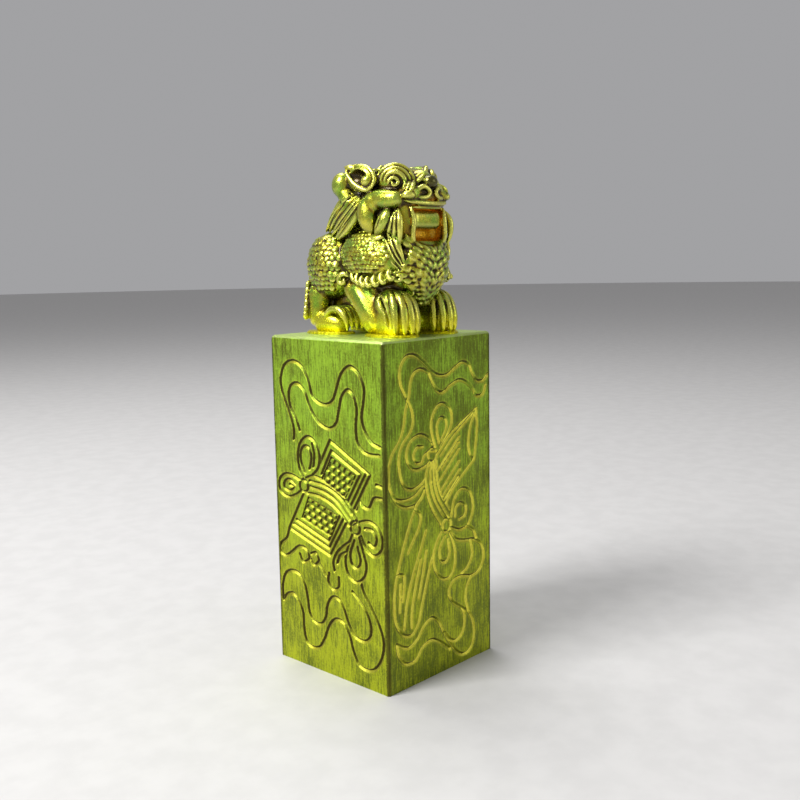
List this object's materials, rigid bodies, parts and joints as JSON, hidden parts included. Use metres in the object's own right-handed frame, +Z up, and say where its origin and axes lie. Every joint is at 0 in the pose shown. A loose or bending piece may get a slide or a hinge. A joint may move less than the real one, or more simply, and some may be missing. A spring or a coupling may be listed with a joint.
{
  "type": "seal stamp",
  "caption": "Square metal seal stamp with a cast guardian beast knob, for pressing an inked mark onto paper.",
  "frame": {"origin": "middle of the seal face, on the surface that the seal stands on", "axes": "+Z up through the knob, -Y towards the beast's face, -X to the beast's right"},
  "size_m": [0.022, 0.022, 0.0701],
  "materials": {
    "column_brass": "brushed, with a yellow-green patina",
    "knob_brass": "cast and rubbed bright, dark in the hollows",
    "pin_brass": "drawn rod, plain",
    "braze": "run-out braze, bright yellow"
  },
  "bodies": {
    "root": {"seal_column": "column_brass", "beast_knob": "knob_brass", "locating_pin_front": "pin_brass", "locating_pin_rear": "pin_brass", "braze_right_forepaw": "braze", "braze_left_forepaw": "braze", "braze_right_hind_foot": "braze", "braze_left_hind_foot": "braze"}
  },
  "joints": []
}
